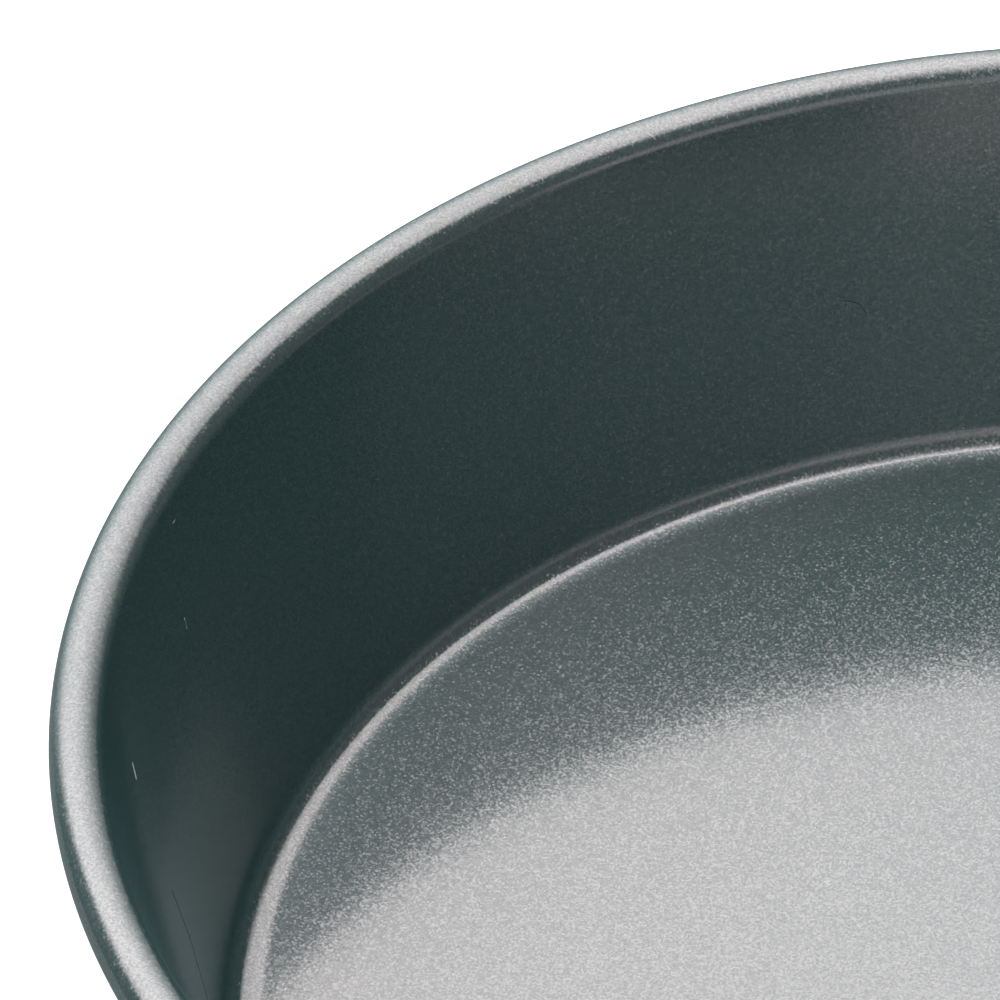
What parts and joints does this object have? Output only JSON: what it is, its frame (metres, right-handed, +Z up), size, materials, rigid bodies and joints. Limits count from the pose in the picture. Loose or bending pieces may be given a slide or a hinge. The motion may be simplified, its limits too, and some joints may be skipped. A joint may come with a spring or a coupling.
{
  "type": "round cake tin",
  "caption": "Round flared cake tin of drawn steel with a rounded inside corner, a rim rolled round a wire and a dark non-stick coating.",
  "frame": {"origin": "middle of the flat underside, on the surface the tin stands on", "axes": "+Z up along the tin's axis, from the base to the open mouth; +X and +Y are any two square directions, and the wire's butt joint is at +Y"},
  "size_m": [0.241, 0.241, 0.05],
  "materials": {
    "coating": "satin dark grey non-stick coating with fine metallic flake, on drawn steel sheet",
    "wire": "bare drawn steel wire"
  },
  "bodies": {
    "root": {"pan_shell": "coating", "rim_wire": "wire"}
  },
  "joints": []
}
